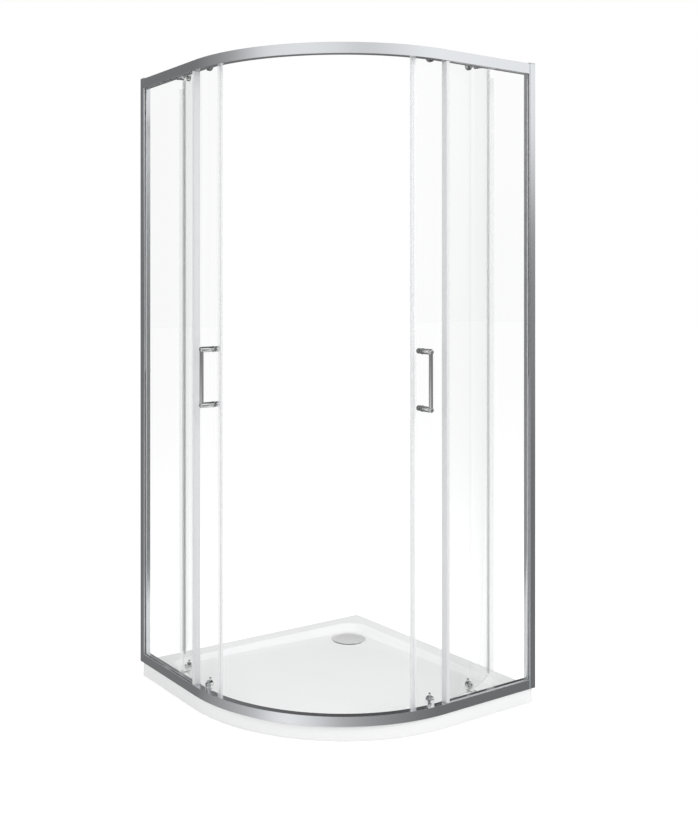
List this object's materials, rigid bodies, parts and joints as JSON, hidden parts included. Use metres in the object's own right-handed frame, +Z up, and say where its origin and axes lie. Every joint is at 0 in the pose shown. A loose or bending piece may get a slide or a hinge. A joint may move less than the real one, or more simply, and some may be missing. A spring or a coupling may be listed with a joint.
{
  "type": "quadrant shower enclosure",
  "caption": "Quadrant shower enclosure: curved sliding glass doors with bar handles between fixed glass panels, in a bright metal frame on a white tray with a corner waste.",
  "frame": {"origin": "middle of the square that the enclosure fills, on the underside of the tray", "axes": "+Z up; the room walls are the planes x = -0.4475 m and y = +0.4475 m; the curved doors face +X and -Y"},
  "size_m": [0.9159, 0.9159, 1.955],
  "materials": {
    "tray_white": "smooth gloss white",
    "polished_aluminium": "bright polished anodised",
    "chrome": "mirror chrome plate",
    "clear_glass": "clear toughened glass",
    "seal_pvc": "translucent white soft PVC",
    "magnet_white": "satin white magnetic strip",
    "nylon": "satin white nylon",
    "grey_rubber": "soft grey rubber",
    "stainless": "plain stainless steel",
    "end_cap_plastic": "silver grey moulded plastic"
  },
  "bodies": {
    "enclosure": {"shower_tray": "tray_white", "waste_gasket": "grey_rubber", "waste_flange": "nylon", "bottom_rail": "polished_aluminium", "top_rail": "polished_aluminium", "rail_infill_strips": "polished_aluminium", "profile_end_caps": "end_cap_plastic", "rail_connectors": "nylon", "fixed_panel_seals": "seal_pvc", "door_stops": "grey_rubber", "frame_screws": "stainless", "glazing_gaskets": "grey_rubber", "left_wall_profile": "polished_aluminium", "left_inner_profile": "polished_aluminium", "left_fixed_glass": "clear_glass", "right_wall_profile": "polished_aluminium", "right_inner_profile": "polished_aluminium", "right_fixed_glass": "clear_glass"},
    "cover": {"drain_cover": "chrome", "hair_catcher": "stainless"},
    "left_door": {"left_door_glass": "clear_glass", "left_door_leading_seal": "seal_pvc", "left_door_magnet_strip": "magnet_white", "left_door_trailing_seal": "seal_pvc", "left_door_handle_bar": "chrome", "left_door_handle_washers": "grey_rubber", "left_door_handle_knobs": "chrome", "left_door_handle_studs": "stainless", "left_door_top_caps": "chrome", "left_door_top_axles": "stainless", "left_door_roller_nuts": "chrome", "left_door_bottom_housings": "chrome", "left_front_release_spring": "stainless", "left_rear_release_spring": "stainless"},
    "left_front_release": {"left_front_release_slide": "chrome"},
    "left_front_top_wheel": {"left_front_top_wheel": "nylon"},
    "left_front_bottom_wheel": {"left_front_bottom_wheel": "nylon"},
    "left_rear_release": {"left_rear_release_slide": "chrome"},
    "left_rear_top_wheel": {"left_rear_top_wheel": "nylon"},
    "left_rear_bottom_wheel": {"left_rear_bottom_wheel": "nylon"},
    "right_door": {"right_door_glass": "clear_glass", "right_door_leading_seal": "seal_pvc", "right_door_magnet_strip": "magnet_white", "right_door_trailing_seal": "seal_pvc", "right_door_handle_bar": "chrome", "right_door_handle_washers": "grey_rubber", "right_door_handle_knobs": "chrome", "right_door_handle_studs": "stainless", "right_door_top_caps": "chrome", "right_door_top_axles": "stainless", "right_door_roller_nuts": "chrome", "right_door_bottom_housings": "chrome", "right_front_release_spring": "stainless", "right_rear_release_spring": "stainless"},
    "right_front_release": {"right_front_release_slide": "chrome"},
    "right_front_top_wheel": {"right_front_top_wheel": "nylon"},
    "right_front_bottom_wheel": {"right_front_bottom_wheel": "nylon"},
    "right_rear_release": {"right_rear_release_slide": "chrome"},
    "right_rear_top_wheel": {"right_rear_top_wheel": "nylon"},
    "right_rear_bottom_wheel": {"right_rear_bottom_wheel": "nylon"}
  },
  "joints": [
    {"name": "cover_lift", "type": "slide", "parent": "enclosure", "child": "cover", "axis": [0, 0, 1], "range_m": [0, 0.12]},
    {"name": "left_door_slide", "type": "hinge", "parent": "enclosure", "child": "left_door", "pos_m": [-0.0789, 0.0789, 0.068], "axis": [0, 0, 1], "range_deg": [0, 33.68]},
    {"name": "right_door_slide", "type": "hinge", "parent": "enclosure", "child": "right_door", "pos_m": [-0.0789, 0.0789, 0.068], "axis": [0, 0, -1], "range_deg": [0, 33.68]},
    {"name": "left_front_release_press", "type": "slide", "parent": "left_door", "child": "left_front_release", "axis": [0, 0, -1], "range_m": [0, 0.004], "stiffness_N_per_m": 300, "springref_m": -0.004, "deforming": ["left_front_release_spring"]},
    {"name": "left_front_top_wheel_spin", "type": "hinge", "parent": "left_door", "child": "left_front_top_wheel", "pos_m": [-0.05205, -0.42929, 1.9319], "axis": [0.0528, -0.9986, 0], "range_deg": [-1907, 0]},
    {"name": "left_front_bottom_wheel_spin", "type": "hinge", "parent": "left_front_release", "child": "left_front_bottom_wheel", "pos_m": [-0.05205, -0.42929, 0.0611], "axis": [0.0528, -0.9986, 0], "range_deg": [0, 1907]},
    {"name": "left_rear_release_press", "type": "slide", "parent": "left_door", "child": "left_rear_release", "axis": [0, 0, -1], "range_m": [0, 0.004], "stiffness_N_per_m": 300, "springref_m": -0.004, "deforming": ["left_rear_release_spring"]},
    {"name": "left_rear_top_wheel_spin", "type": "hinge", "parent": "left_door", "child": "left_rear_top_wheel", "pos_m": [-0.22942, -0.40723, 1.9319], "axis": [-0.2958, -0.9553, 0], "range_deg": [-1907, 0]},
    {"name": "left_rear_bottom_wheel_spin", "type": "hinge", "parent": "left_rear_release", "child": "left_rear_bottom_wheel", "pos_m": [-0.22942, -0.40723, 0.0611], "axis": [-0.2958, -0.9553, 0], "range_deg": [0, 1907]},
    {"name": "right_front_release_press", "type": "slide", "parent": "right_door", "child": "right_front_release", "axis": [0, 0, -1], "range_m": [0, 0.004], "stiffness_N_per_m": 300, "springref_m": -0.004, "deforming": ["right_front_release_spring"]},
    {"name": "right_front_top_wheel_spin", "type": "hinge", "parent": "right_door", "child": "right_front_top_wheel", "pos_m": [0.42929, 0.05205, 1.9319], "axis": [0.9986, -0.0528, 0], "range_deg": [0, 1907]},
    {"name": "right_front_bottom_wheel_spin", "type": "hinge", "parent": "right_front_release", "child": "right_front_bottom_wheel", "pos_m": [0.42929, 0.05205, 0.0611], "axis": [0.9986, -0.0528, 0], "range_deg": [-1907, 0]},
    {"name": "right_rear_release_press", "type": "slide", "parent": "right_door", "child": "right_rear_release", "axis": [0, 0, -1], "range_m": [0, 0.004], "stiffness_N_per_m": 300, "springref_m": -0.004, "deforming": ["right_rear_release_spring"]},
    {"name": "right_rear_top_wheel_spin", "type": "hinge", "parent": "right_door", "child": "right_rear_top_wheel", "pos_m": [0.40723, 0.22942, 1.9319], "axis": [0.9553, 0.2958, 0], "range_deg": [0, 1907]},
    {"name": "right_rear_bottom_wheel_spin", "type": "hinge", "parent": "right_rear_release", "child": "right_rear_bottom_wheel", "pos_m": [0.40723, 0.22942, 0.0611], "axis": [0.9553, 0.2958, 0], "range_deg": [-1907, 0]}
  ],
  "couplings": [
    {"joint": "left_front_top_wheel_spin", "follows": "left_door_slide", "ratio": -56.544},
    {"joint": "left_front_bottom_wheel_spin", "follows": "left_door_slide", "ratio": 56.544},
    {"joint": "left_rear_top_wheel_spin", "follows": "left_door_slide", "ratio": -56.544},
    {"joint": "left_rear_bottom_wheel_spin", "follows": "left_door_slide", "ratio": 56.544},
    {"joint": "right_front_top_wheel_spin", "follows": "right_door_slide", "ratio": 56.544},
    {"joint": "right_front_bottom_wheel_spin", "follows": "right_door_slide", "ratio": -56.544},
    {"joint": "right_rear_top_wheel_spin", "follows": "right_door_slide", "ratio": 56.544},
    {"joint": "right_rear_bottom_wheel_spin", "follows": "right_door_slide", "ratio": -56.544}
  ]
}
